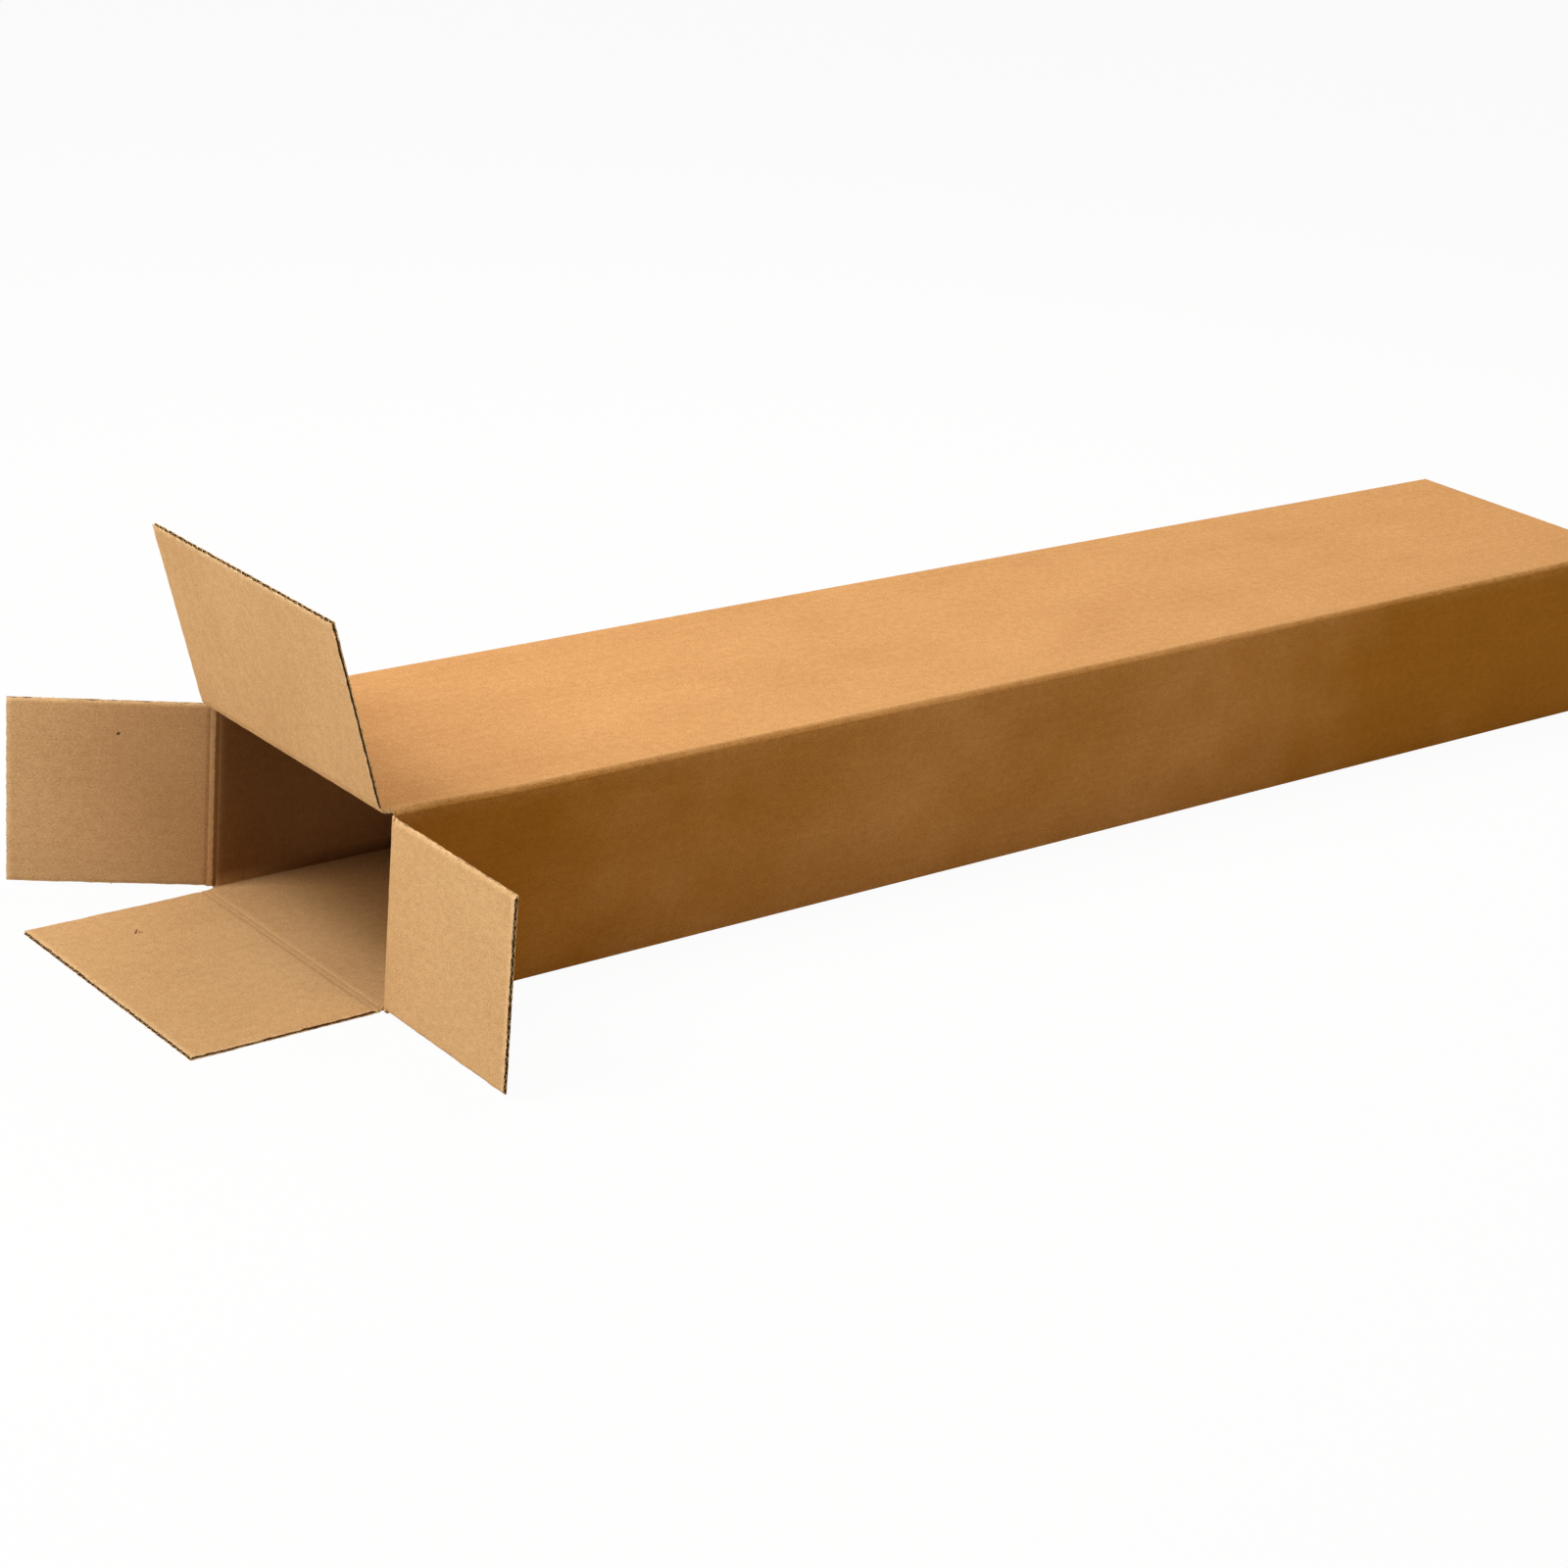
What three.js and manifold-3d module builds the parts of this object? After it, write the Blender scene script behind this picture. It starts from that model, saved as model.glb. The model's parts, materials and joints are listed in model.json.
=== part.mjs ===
// A long corrugated carton that lies on a wide face, with the four flaps of one end open.
// Millimetres, +Z up, +X from the open end to the closed end, origin in the middle of the underside.
import * as THREE from 'three';
import { mergeGeometries, mergeVertices } from 'three/addons/utils/BufferGeometryUtils.js';
import Module from 'manifold-3d';

const wasm = await Module();
wasm.setup();

// The carton's outer sizes
const length = 1680;
const width = 300;
const height = 190;

// The board: two liners with a fluted medium between them
const board = 4;
const liner = 0.4;
const medium = 0.3;
const flutePitch = 8.1;
const waveSegments = 5;

// Folds, slots and creases
const foldRadius = 3;
const innerFoldRadius = 0.8;
const slotWidth = 6;
const slotOvercut = 1;
const creaseGap = 0.25;
const creaseCrush = 12;
const layerGap = 0.3;
const flapClearance = 1;

// The glue lap that joins the bottom wall to the inside of the front wall
const lapWidth = 35;
const lapChamfer = 10;
const lapMouthGap = 3;
const seamLift = 0.5;

// How far each flap is opened from straight out, in degrees
const topFlapAngle = 72.8;
const bottomFlapAngle = 0;
const frontFlapAngle = 89.1;
const backFlapAngle = 32.4;

// How far a cutting solid runs past what it cuts, and an added one runs into what it joins
const cutPast = 2;
const joinRun = 10;
const joinOverlap = 1;

// All flaps are as long as the carton is deep, so that the outer ones cover the whole end
const flapLength = height - board - flapClearance;
const halfLength = length / 2;
const halfWidth = width / 2;
const flapMargin = (board + slotWidth) / 2;

// From the outermost flap to the innermost, as they close
const layers = ['top', 'bottom', 'front', 'back'];

const sides = {
  top: { normal: [0, 0, 1], centre: [0, 0, height], span: width, flapAngle: topFlapAngle },
  bottom: { normal: [0, 0, -1], centre: [0, 0, 0], span: width, flapAngle: bottomFlapAngle },
  front: { normal: [0, -1, 0], centre: [0, -halfWidth, height / 2], span: height, flapAngle: frontFlapAngle },
  back: { normal: [0, 1, 0], centre: [0, halfWidth, height / 2], span: height, flapAngle: backFlapAngle },
};

const mouthCrease = (name) => -halfLength + layers.indexOf(name) * (board + layerGap);
const farCrease = (name) => halfLength - layers.indexOf(name) * board;
const flapWidth = (name) => sides[name].span - 2 * flapMargin;

// A prism from an outline in X and Y, drawn out along Z
function prism(outline, depth) {
  const shape = outline instanceof THREE.Shape
    ? outline
    : new THREE.Shape(outline.map(([x, y]) => new THREE.Vector2(x, y)));
  return new THREE.ExtrudeGeometry(shape, { depth, bevelEnabled: false, curveSegments: 3 });
}

// The same, drawn out to both sides of the outline's plane
function centredPrism(outline, depth) {
  return prism(outline, depth).translate(0, 0, -depth / 2);
}

function toSolid(geometry) {
  const bare = geometry.clone();
  bare.deleteAttribute('normal');
  bare.deleteAttribute('uv');
  const merged = mergeVertices(bare, 1e-4);
  return new wasm.Manifold(new wasm.Mesh({
    numProp: 3,
    vertProperties: new Float32Array(merged.attributes.position.array),
    triVerts: new Uint32Array(merged.index.array),
  }));
}

function toGeometry(solid) {
  const { vertProperties, triVerts } = solid.getMesh();
  const geometry = new THREE.BufferGeometry();
  geometry.setAttribute('position', new THREE.BufferAttribute(new Float32Array(vertProperties), 3));
  geometry.setIndex(new THREE.BufferAttribute(new Uint32Array(triVerts), 1));
  return geometry;
}

// A frame at a wall's crease: X runs away from the wall along the carton, Y is the wall's outer
// normal, and Z is the crease, about which a positive turn folds a flap open
function creaseFrame(name, creaseX, run) {
  const { normal, centre } = sides[name];
  const away = new THREE.Vector3(run, 0, 0);
  const outward = new THREE.Vector3(...normal);
  const crease = new THREE.Vector3().crossVectors(away, outward);
  return new THREE.Matrix4()
    .makeBasis(away, outward, crease)
    .setPosition(creaseX, centre[1], centre[2]);
}

// One channel between the medium and the outer liner, from crest to crest of the wave
function channelOutline(pitch, middle, facing) {
  const rise = board / 2 - liner - medium / 2;
  const webHalf = medium * 0.7;
  const touch = Math.acos((board / 2 - liner - webHalf) / rise);
  const points = [];
  for (let i = 0; i <= waveSegments; i += 1) {
    const phase = touch + ((2 * Math.PI - 2 * touch) * i) / waveSegments;
    const across = middle + pitch * (phase / (2 * Math.PI) - 0.5);
    const lift = rise * Math.cos(phase) + webHalf;
    points.push([facing * across, -board / 2 + facing * lift]);
  }
  return points;
}

// The channels of a flap, which open at its free edge and end where the crease has crushed them
function fluteChannels(panelWidth) {
  const count = Math.round(panelWidth / flutePitch);
  const pitch = panelWidth / count;
  const depth = flapLength + cutPast - creaseCrush;
  const channels = [];
  for (let i = 0; i <= count; i += 1) {
    const middle = -panelWidth / 2 + i * pitch;
    channels.push(prism(channelOutline(pitch, middle, 1), depth));
    if (i < count) {
      channels.push(prism(channelOutline(pitch, middle + pitch / 2, -1), depth));
    }
  }
  return mergeGeometries(channels).translate(0, 0, creaseCrush);
}

// A flap in its crease's frame, lying straight out, with its root mitred so that it can close
function flapGeometry(name) {
  const outline = [
    [creaseGap, 0],
    [creaseGap + board, -board],
    [flapLength, -board],
    [flapLength, 0],
  ];
  const plate = toSolid(centredPrism(outline, flapWidth(name)));
  const channels = toSolid(fluteChannels(flapWidth(name)).rotateY(Math.PI / 2));
  return toGeometry(plate.subtract(channels));
}

// The tube's section, with three folded edges and one seam, where the front wall's cut edge
// stands beside the bottom wall's fold
function tubeSection() {
  const r = foldRadius;
  const seamY = -halfWidth + board;
  const shape = new THREE.Shape();
  shape.moveTo(-halfWidth, seamLift);
  shape.lineTo(seamY, seamLift);
  shape.lineTo(seamY, r);
  shape.absarc(seamY + r, r, r, Math.PI, 1.5 * Math.PI, false);
  shape.lineTo(halfWidth - r, 0);
  shape.absarc(halfWidth - r, r, r, -Math.PI / 2, 0, false);
  shape.lineTo(halfWidth, height - r);
  shape.absarc(halfWidth - r, height - r, r, 0, Math.PI / 2, false);
  shape.lineTo(-halfWidth + r, height);
  shape.absarc(-halfWidth + r, height - r, r, Math.PI / 2, Math.PI, false);

  const q = innerFoldRadius;
  const innerY = halfWidth - board;
  const innerTop = height - board;
  const hole = new THREE.Path();
  hole.moveTo(innerY - q, board);
  hole.absarc(-innerY + q, board + q, q, 1.5 * Math.PI, Math.PI, true);
  hole.absarc(-innerY + q, innerTop - q, q, Math.PI, Math.PI / 2, true);
  hole.absarc(innerY - q, innerTop - q, q, Math.PI / 2, 0, true);
  hole.absarc(innerY - q, board + q, q, 0, -Math.PI / 2, true);
  shape.holes.push(hole);
  return shape;
}

// Turns a prism drawn in the carton's Y and Z so that it runs along +X
function alongCarton(geometry) {
  const turned = new THREE.Matrix4().makeBasis(
    new THREE.Vector3(0, 1, 0),
    new THREE.Vector3(0, 0, 1),
    new THREE.Vector3(1, 0, 0),
  );
  return geometry.applyMatrix4(turned);
}

// What is cut off one wall at the mouth: everything past its crease, on a mitre
function mouthCut(name) {
  const past = halfLength;
  const outline = [
    [cutPast - creaseGap, cutPast],
    [-cutPast - board - creaseGap, -cutPast - board],
    [past, -cutPast - board],
    [past, cutPast],
  ];
  const geometry = centredPrism(outline, flapWidth(name));
  return toSolid(geometry.applyMatrix4(creaseFrame(name, mouthCrease(name), -1)));
}

// What is cut off one wall at the far end, where its folded flap takes over
function farCut(name) {
  const outline = [
    [-joinRun, -board - cutPast],
    [halfLength, -board - cutPast],
    [halfLength, cutPast],
    [-joinRun, cutPast],
  ];
  const geometry = centredPrism(outline, flapWidth(name));
  return toSolid(geometry.applyMatrix4(creaseFrame(name, farCrease(name), 1)));
}

// The slots at a corner of the tube, cut a little past the deeper of its two creases
function cornerSlots(upper, side) {
  const high = upper === 'top';
  const outward = side === 'back' ? 1 : -1;
  const y = outward * (halfWidth - flapMargin);
  const yEnd = outward * (halfWidth + cutPast);
  const z = high ? height - flapMargin : flapMargin;
  const zEnd = high ? height + cutPast : -cutPast;
  const outline = [[y, z], [yEnd, z], [yEnd, zEnd], [y, zEnd]];
  const nearEnd = Math.max(mouthCrease(upper), mouthCrease(side)) + slotOvercut;
  const farStart = Math.min(farCrease(upper), farCrease(side)) - slotOvercut;
  const nearSlot = alongCarton(prism(outline, length)).translate(nearEnd - length, 0, 0);
  const farSlot = alongCarton(prism(outline, length)).translate(farStart, 0, 0);
  return [toSolid(nearSlot), toSolid(farSlot)];
}

// A flap of the closed end, folded in over the end and glued to the one beneath it
function closedFlap(name) {
  const shape = new THREE.Shape();
  shape.moveTo(-joinRun - joinOverlap, -board);
  shape.lineTo(-board, -board);
  shape.lineTo(-board, -flapLength);
  shape.lineTo(0, -flapLength);
  shape.lineTo(0, -foldRadius);
  shape.absarc(-foldRadius, -foldRadius, foldRadius, 0, Math.PI / 2, false);
  shape.lineTo(-joinRun - joinOverlap, 0);
  const geometry = centredPrism(shape, flapWidth(name));
  return toSolid(geometry.applyMatrix4(creaseFrame(name, farCrease(name), 1)));
}

// The flute channels of the outermost closed flap, whose free edge shows
function closedFlapChannels() {
  const name = layers[0];
  const folded = new THREE.Matrix4().makeRotationZ(-Math.PI / 2);
  const geometry = fluteChannels(flapWidth(name))
    .rotateY(Math.PI / 2)
    .applyMatrix4(folded)
    .applyMatrix4(creaseFrame(name, farCrease(name), 1));
  return toSolid(geometry);
}

// The glue lap, with chamfered ends, clear of the closed flaps at both ends
function glueLap() {
  const start = mouthCrease(layers[layers.length - 1]) + board + lapMouthGap;
  const end = farCrease(layers[layers.length - 1]) - board + joinOverlap;
  const outline = [
    [start, board - joinOverlap],
    [end, board - joinOverlap],
    [end, board + lapWidth],
    [start + lapChamfer, board + lapWidth],
    [start, board + lapWidth - lapChamfer],
  ];
  const geometry = prism(outline, board + joinOverlap);
  geometry.rotateX(Math.PI / 2).translate(0, -halfWidth + 2 * board, 0);
  return toSolid(geometry);
}

function bodyGeometry() {
  let body = toSolid(alongCarton(centredPrism(tubeSection(), length)));
  for (const name of layers) {
    body = body.subtract(mouthCut(name)).subtract(farCut(name));
  }
  for (const upper of ['top', 'bottom']) {
    for (const side of ['front', 'back']) {
      for (const slot of cornerSlots(upper, side)) {
        body = body.subtract(slot);
      }
    }
  }
  for (const name of layers) {
    body = body.add(closedFlap(name));
  }
  return toGeometry(body.add(glueLap()).subtract(closedFlapChannels()));
}

// Kraft board, a little lighter on the flaps' inner liner
const outsideKraft = new THREE.MeshStandardMaterial({ color: 0xb98552, roughness: 0.9, metalness: 0 });
const insideKraft = new THREE.MeshStandardMaterial({ color: 0xc79c6c, roughness: 0.92, metalness: 0 });

const carton = new THREE.Group();
carton.name = 'long_carton';

const body = new THREE.Mesh(bodyGeometry(), outsideKraft);
body.name = 'carton_body';
carton.add(body);

for (const name of layers) {
  const hinge = new THREE.Group();
  const frame = creaseFrame(name, mouthCrease(name), -1);
  const opened = new THREE.Matrix4().makeRotationZ(THREE.MathUtils.degToRad(sides[name].flapAngle));
  frame.multiply(opened).decompose(hinge.position, hinge.quaternion, hinge.scale);
  const flap = new THREE.Mesh(flapGeometry(name), insideKraft);
  flap.name = `flap_${name}`;
  hinge.add(flap);
  carton.add(hinge);
}

export default carton;
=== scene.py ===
"""A long kraft carton on its wide face, with the four flaps of its near end turned out.

Metres, +Z up, +X from the open end to the closed end. Every sheet of board starts as a flat grid,
as it was cut, and is then folded to its place. Its UV map keeps the flat blank's own measures:
U runs with the flutes and V across them, both in metres.
"""
import json
import math

import bpy
from mathutils import Matrix, Vector, noise


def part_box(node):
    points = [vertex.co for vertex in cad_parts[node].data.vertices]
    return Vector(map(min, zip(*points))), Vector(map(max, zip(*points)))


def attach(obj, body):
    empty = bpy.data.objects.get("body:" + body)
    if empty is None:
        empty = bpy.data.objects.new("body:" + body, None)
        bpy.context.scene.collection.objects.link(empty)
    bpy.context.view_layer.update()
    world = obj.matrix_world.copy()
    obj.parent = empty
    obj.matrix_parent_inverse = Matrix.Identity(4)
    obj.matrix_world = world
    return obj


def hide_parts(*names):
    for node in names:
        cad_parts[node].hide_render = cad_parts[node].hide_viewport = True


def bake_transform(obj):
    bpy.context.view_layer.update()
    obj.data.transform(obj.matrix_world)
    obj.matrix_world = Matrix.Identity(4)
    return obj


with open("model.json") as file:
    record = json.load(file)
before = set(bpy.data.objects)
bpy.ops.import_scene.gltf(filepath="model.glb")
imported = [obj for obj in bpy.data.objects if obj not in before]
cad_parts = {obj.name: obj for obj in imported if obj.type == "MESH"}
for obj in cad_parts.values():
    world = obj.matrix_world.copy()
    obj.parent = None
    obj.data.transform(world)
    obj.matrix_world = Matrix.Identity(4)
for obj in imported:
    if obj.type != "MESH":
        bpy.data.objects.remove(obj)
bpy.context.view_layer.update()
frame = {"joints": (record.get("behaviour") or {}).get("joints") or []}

# The carton's outer sizes, from the frame
_, body_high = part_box("carton_body")
HALF_LENGTH = body_high.x
HALF_WIDTH = body_high.y
HEIGHT = body_high.z

# The board, and how the creases have crushed it
BOARD = 0.004
LINER = 0.0007
MEDIUM = 0.0006
FLUTE_PITCH = 0.0081
CRUSH_DEPTH = 0.0013
CRUSH_RUN = 0.008
CREASE_GAP = 0.00025

# Folds, slots and the glue lap
FOLD_RADIUS = 0.005
END_FOLD_RADIUS = 0.003
INNER_FOLD_RADIUS = 0.0008
FLAP_MARGIN = 0.005
SLOT_OVERCUT = 0.001
SLOT_STEP = 0.0002
FLAP_LENGTH = 0.185
LAP_WIDTH = 0.035
LAP_CHAMFER = 0.010
LAP_SETBACK = 0.007
SEAM_LIFT = 0.0005
SEAM_CLEARANCE = 0.0002

# How far the long box has settled
FRONT_EDGE_SAG = 0.005
PANEL_BOW = 0.0025
MOUTH_STIFF_START = 0.01
MOUTH_STIFF_RUN = 0.12
EVEN_SAG_SHARE = 0.45
MIDDLE_SAG_SHARE = 0.55

WALLS = ["front", "top", "back", "bottom"]
LAYERS = ["top", "bottom", "front", "back"]
FAR_CREASE = {name: HALF_LENGTH - LAYERS.index(name) * BOARD for name in LAYERS}

# Each wall in the section: the corner where it starts, the way it runs, its outer normal and its width
SECTION = {
    "front": (Vector((0, -HALF_WIDTH, 0)), Vector((0, 0, 1)), Vector((0, -1, 0)), HEIGHT),
    "top": (Vector((0, -HALF_WIDTH, HEIGHT)), Vector((0, 1, 0)), Vector((0, 0, 1)), 2 * HALF_WIDTH),
    "back": (Vector((0, HALF_WIDTH, HEIGHT)), Vector((0, 0, -1)), Vector((0, 1, 0)), HEIGHT),
    "bottom": (Vector((0, HALF_WIDTH, 0)), Vector((0, -1, 0)), Vector((0, 0, -1)), 2 * HALF_WIDTH),
}


class Crease:
    """An open flap's crease: its place, and the way its flap runs, both straight out and as it lies."""

    def __init__(self, name):
        joint = next(j for j in frame["joints"] if j["name"] == name + "_flap_crease")
        _, _, outward, span = SECTION[name]
        self.name = name
        self.body = name + "_flap"
        self.place = Vector(joint["pos_m"])
        self.away = Vector((-1, 0, 0))
        self.outward = outward
        self.across = self.away.cross(outward)
        self.opened = math.radians(-joint["range_deg"][0] - 90)
        self.width = span - 2 * FLAP_MARGIN

    def wall_point(self, run, across, out):
        """A point in the crease's own frame, with nothing folded."""
        return self.place + self.away * run + self.across * across + self.outward * out

    def turned(self, point, angle):
        """The same point when the board there has turned by an angle about the crease."""
        return Matrix.Rotation(angle, 3, self.across) @ (point - self.place) + self.place

    def flap_point(self, run, across, out):
        return self.turned(self.wall_point(run, across, out), self.opened)


CREASES = {name: Crease(name) for name in LAYERS}


def smooth(share):
    share = min(max(share, 0), 1)
    return share * share * (3 - 2 * share)


def thickness(run):
    """The board's thickness at a distance from a crease."""
    return BOARD - CRUSH_DEPTH * (1 - smooth(abs(run) / CRUSH_RUN))


def mitre_depth():
    """How deep the mitred cut at a crease goes, where it comes out at the inner face."""
    depth = BOARD
    for _ in range(20):
        depth = thickness(CREASE_GAP + depth)
    return depth


MITRE = mitre_depth()


def wander(scale, *place):
    """Smooth noise from about -1 to 1 with features of the given size."""
    point = Vector((*place, 0, 0)[:3])
    return noise.noise(point / scale)


# Materials

class Value:
    """A node's output, so that shader maths reads as an expression."""

    def __init__(self, finish, socket):
        self.finish = finish
        self.socket = socket

    def maths(self, operation, first, second):
        node = self.finish.tree.nodes.new("ShaderNodeMath")
        node.operation = operation
        self.finish.feed(node.inputs[0], first)
        self.finish.feed(node.inputs[1], second)
        return Value(self.finish, node.outputs[0])

    def __add__(self, other):
        return self.maths("ADD", self, other)

    def __radd__(self, other):
        return self.maths("ADD", other, self)

    def __sub__(self, other):
        return self.maths("SUBTRACT", self, other)

    def __rsub__(self, other):
        return self.maths("SUBTRACT", other, self)

    def __mul__(self, other):
        return self.maths("MULTIPLY", self, other)

    def __rmul__(self, other):
        return self.maths("MULTIPLY", other, self)

    def __truediv__(self, other):
        return self.maths("DIVIDE", self, other)

    def sine(self):
        return self.maths("SINE", self, 0)

    def at_most(self, limit):
        return self.maths("MINIMUM", self, limit)


# Bare board has almost no gloss
BOARD_GLOSS = 0.04


class Finish:
    """A material as it is put together, node by node."""

    def __init__(self, name, roughness):
        self.material = bpy.data.materials.new(name)
        self.material.use_nodes = True
        self.tree = self.material.node_tree
        self.shader = self.tree.nodes["Principled BSDF"]
        self.shader.inputs["Roughness"].default_value = roughness
        self.shader.inputs["Specular IOR Level"].default_value = BOARD_GLOSS

    def feed(self, socket, value):
        if isinstance(value, Value):
            self.tree.links.new(value.socket, socket)
        else:
            socket.default_value = value

    def node(self, kind, output, settings, inputs):
        """Any node: its type, the output that is used, its settings, and its sockets' values or links."""
        made = self.tree.nodes.new("ShaderNode" + kind)
        for name, value in settings.items():
            setattr(made, name, value)
        for name, value in inputs.items():
            self.feed(made.inputs[name], value)
        return Value(self, made.outputs[output])

    def blank(self):
        """The place on the flat blank, in metres: with the flutes, and across them."""
        flat = self.node("UVMap", 0, {"uv_map": "blank"}, {})
        return (
            self.node("SeparateXYZ", 0, {}, {0: flat}),
            self.node("SeparateXYZ", 1, {}, {0: flat}),
        )

    def grain(self, along, across, along_size, across_size, detail, lift=0.0):
        """Noise from 0 to 1, with features of a given size with the flutes and across them.

        lift moves to another layer of the noise, so that no two grains are alike."""
        place = self.node("CombineXYZ", 0, {}, {0: along / along_size, 1: across / across_size, 2: lift})
        settings = {"noise_dimensions": "3D"}
        inputs = {"Vector": place, "Scale": 1.0, "Detail": detail, "Roughness": 0.55}
        return self.node("TexNoise", 0, settings, inputs)

    def step(self, value, low, high):
        """0 below low, 1 above high, and smooth between."""
        settings = {"interpolation_type": "SMOOTHSTEP"}
        inputs = {"Value": value, "From Min": low, "From Max": high}
        return self.node("MapRange", 0, settings, inputs)

    def mix(self, share, first, second):
        """One colour going over to another."""
        settings = {"data_type": "RGBA"}
        return self.node("Mix", 2, settings, {0: share, 6: first, 7: second})

    def shade(self, colour, level):
        """A colour made darker or lighter by a varying level."""
        grey = self.node("CombineXYZ", 0, {}, {0: level, 1: level, 2: level})
        return self.node("VectorMath", 0, {"operation": "MULTIPLY"}, {0: colour, 1: grey})

    def attribute(self, name):
        return self.node("Attribute", 2, {"attribute_name": name}, {})

    def spot(self, along, across, centre, size, turn=0.0):
        """1 inside a small mark on the blank, and 0 outside it."""
        u = along - centre[0]
        v = across - centre[1]
        long = u * math.cos(turn) + v * math.sin(turn)
        wide = v * math.cos(turn) - u * math.sin(turn)
        reach = long * long / size[0] ** 2 + wide * wide / size[1] ** 2
        return 1 - self.step(reach, 0.5, 1.0)

    def finish(self, colour, height, distance, strength):
        """The finished material: its colour, and a bump as deep as distance where height is 1."""
        self.feed(self.shader.inputs["Base Color"], colour)
        bump = self.node("Bump", 0, {}, {"Height": height, "Strength": strength, "Distance": distance})
        self.feed(self.shader.inputs["Normal"], bump)
        return self.material


# How much each layer of the kraft's grain varies its tone
FIBRE_TONE = 1.10
MOTTLE_TONE = 0.60
CLOUD_TONE = 0.40
RIDGE_TONE = 0.012
DARK_FLECK_TONE = 0.42
PALE_FLECK_TONE = 0.26
FLECK_SHARE = (0.62, 0.74)
# How much each layer lifts the surface
RIDGE_RELIEF = 0.12
FIBRE_RELIEF = 0.45
MOTTLE_RELIEF = 0.8
STREAK_RELIEF = 0.6


def kraft_finish(name, light, dark, painted_shade, worn_and_highlight, streak, marks=()):
    """Kraft liner: fibres, fine streaks with the flutes, cloudy patches, painted shade, and wear with a
    painted highlight at the folds.

    The deep colour is the darker, browner tint of painted shade, the worn colour is the pale tint of rubbed
    edges and of a painted highlight, and marks are small stains and scratches."""
    kraft = Finish(name, 0.88)
    along, across = kraft.blank()
    fibre = kraft.grain(along, across, along_size=0.0024, across_size=0.0019, detail=3.0)
    flecks = kraft.grain(along, across, along_size=0.0017, across_size=0.0014, detail=1.0, lift=4.0)
    streaks = kraft.grain(along, across, along_size=0.16, across_size=0.0038, detail=3.0, lift=9.0)
    mottle = kraft.grain(along, across, along_size=0.009, across_size=0.008, detail=4.0, lift=2.0)
    clouds = kraft.grain(along, across, along_size=0.14, across_size=0.085, detail=2.0, lift=6.0)
    ridges = (across * (2 * math.pi / FLUTE_PITCH)).sine()
    tone = (
        0.5
        + (fibre - 0.5) * FIBRE_TONE
        + (streaks - 0.5) * streak
        + (mottle - 0.5) * MOTTLE_TONE
        + (clouds - 0.5) * CLOUD_TONE
        + ridges * RIDGE_TONE
    )
    colour = kraft.mix(kraft.step(tone, 0.0, 1.0), dark, light)
    # Painted shade: the colour is darkened and browned as far as the point's shade level goes
    painted_shading = kraft.node("VectorMath", 0, {"operation": "MULTIPLY"}, {0: colour, 1: painted_shade})
    colour = kraft.mix(kraft.attribute("painted_shade"), colour, painted_shading)
    dark_flecks = kraft.step(flecks, *FLECK_SHARE) * DARK_FLECK_TONE
    pale_flecks = kraft.step(1 - flecks, *FLECK_SHARE) * PALE_FLECK_TONE
    colour = kraft.shade(colour, 1 - dark_flecks + pale_flecks)
    # Rubbed wear with a painted highlight: the pale colour along folds and cut edges
    wear_and_highlight = kraft.attribute("worn_and_highlight") * kraft.step(fibre * 0.6 + mottle * 0.4, 0.30, 0.60)
    colour = kraft.mix(wear_and_highlight.at_most(1.0), colour, worn_and_highlight)
    for mark_colour, centre, size, turn in marks:
        share = kraft.spot(along, across, centre, size, turn) * kraft.step(fibre, 0.25, 0.5)
        colour = kraft.mix(share, colour, mark_colour)
    height = (
        ridges * RIDGE_RELIEF
        + fibre * FIBRE_RELIEF
        + mottle * MOTTLE_RELIEF
        + streaks * (STREAK_RELIEF * streak)
    )
    return kraft.finish(colour, height, distance=0.0003, strength=0.45)


def cut_edge_finish():
    """The cut edge of a liner: pale torn fibre with darker nicks."""
    edge = Finish("cut_edge", 0.9)
    along, across = edge.blank()
    fibre = edge.grain(along, across, along_size=0.0012, across_size=0.0012, detail=3.0)
    soil = edge.grain(along, across, along_size=0.007, across_size=0.007, detail=2.0, lift=3.0)
    tone = edge.step(fibre * 0.5 + soil * 0.5, 0.40, 0.58)
    colour = edge.mix(tone, (0.20, 0.095, 0.035, 1), (0.86, 0.58, 0.29, 1))
    return edge.finish(colour, fibre, distance=0.0003, strength=0.5)


def medium_finish():
    """The fluted medium, browner than the liners."""
    medium = Finish("fluting", 0.95)
    along, across = medium.blank()
    fibre = medium.grain(along, across, along_size=0.0015, across_size=0.0015, detail=3.0)
    tone = medium.step(fibre, 0.3, 0.7)
    colour = medium.mix(tone, (0.060, 0.028, 0.011, 1), (0.13, 0.065, 0.026, 1))
    return medium.finish(colour, fibre, distance=0.0002, strength=0.4)


def pattern_shift(name, facing):
    """How far across the blank a flap's liner is moved, so that no two liners share a pattern.

    facing is 1 for the outer liner and -1 for the inner one."""
    return LAYERS.index(name) * 10 + facing


SPECK = (0.10, 0.055, 0.025, 1)
SCRATCH = (0.20, 0.10, 0.05, 1)

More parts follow.
